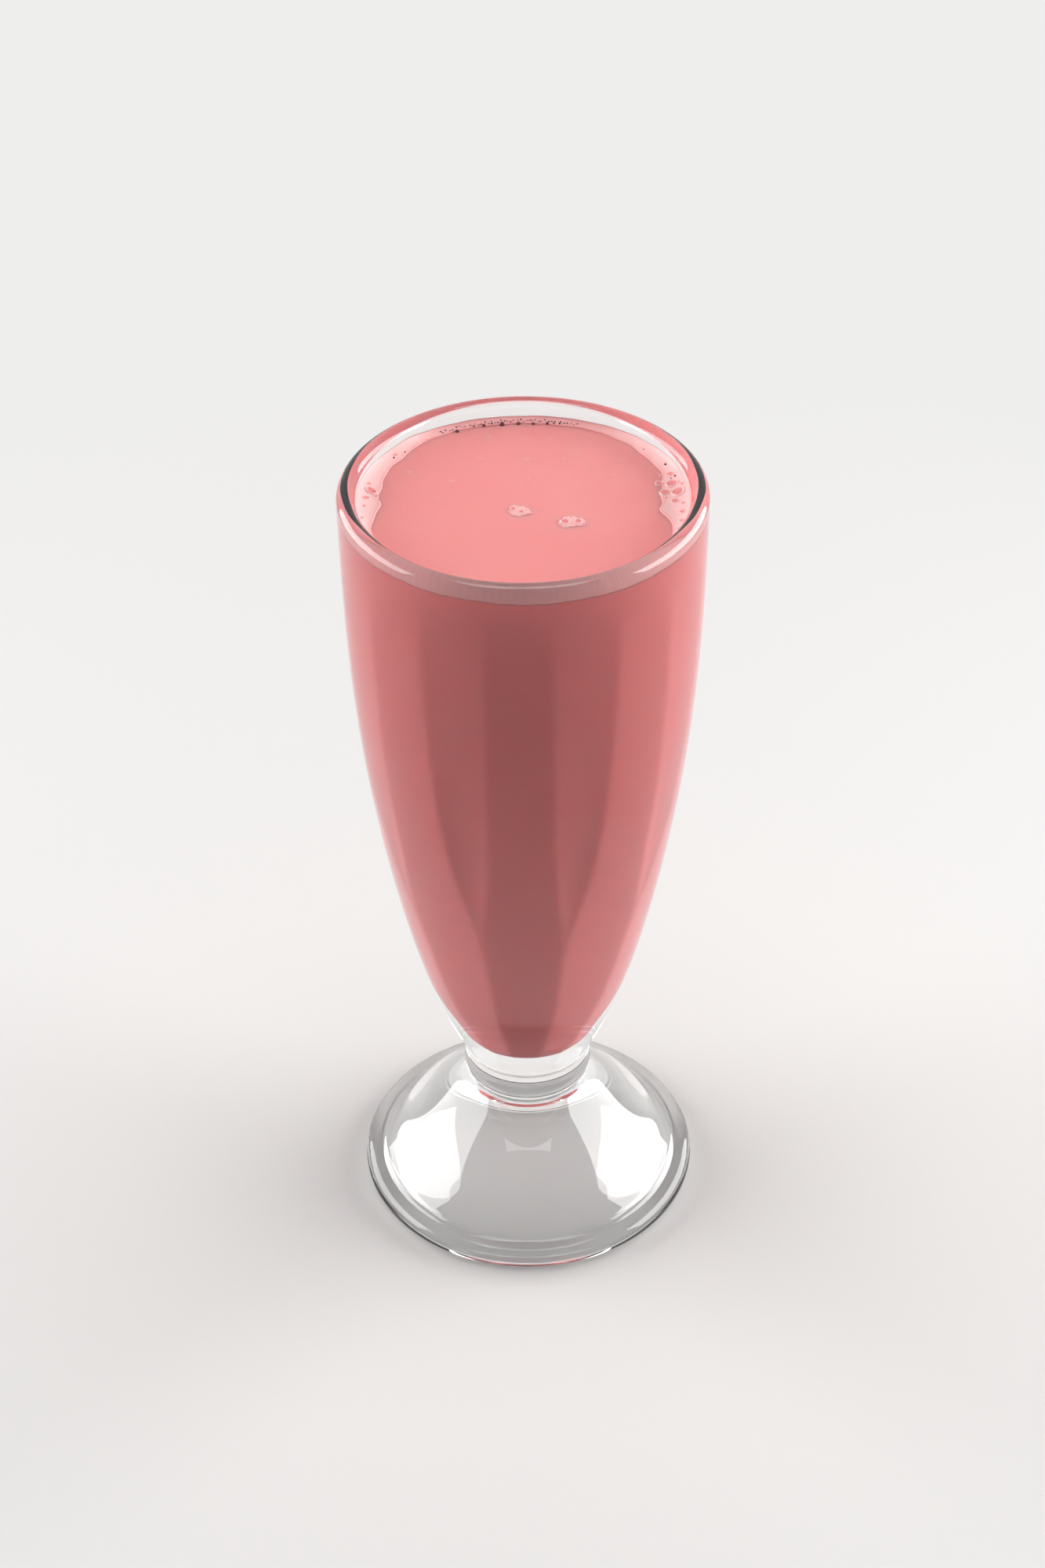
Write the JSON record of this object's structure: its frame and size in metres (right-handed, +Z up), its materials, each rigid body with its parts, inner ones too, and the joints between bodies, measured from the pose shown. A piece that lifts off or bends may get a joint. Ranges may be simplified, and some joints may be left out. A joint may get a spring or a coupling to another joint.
{
  "type": "rose milk in a footed soda glass",
  "caption": "Tall footed soda glass, pressed with broad panels inside its bowl, filled close to the rim with opaque pink rose milk and a narrow ring of pale froth.",
  "frame": {"origin": "centre of the foot's contact ring, on the surface the glass stands on", "axes": "+Z up along the glass's axis, -Y towards the side that faces the viewer, +X to the viewer's right"},
  "size_m": [0.0828, 0.0828, 0.2],
  "materials": {
    "glass": "clear pressed glass, fire polished",
    "milk": "opaque pink milk, wet surface",
    "froth": "pale pink froth of small bubbles"
  },
  "bodies": {
    "root": {"glass": "glass", "milk": "milk", "froth": "froth"}
  },
  "joints": []
}
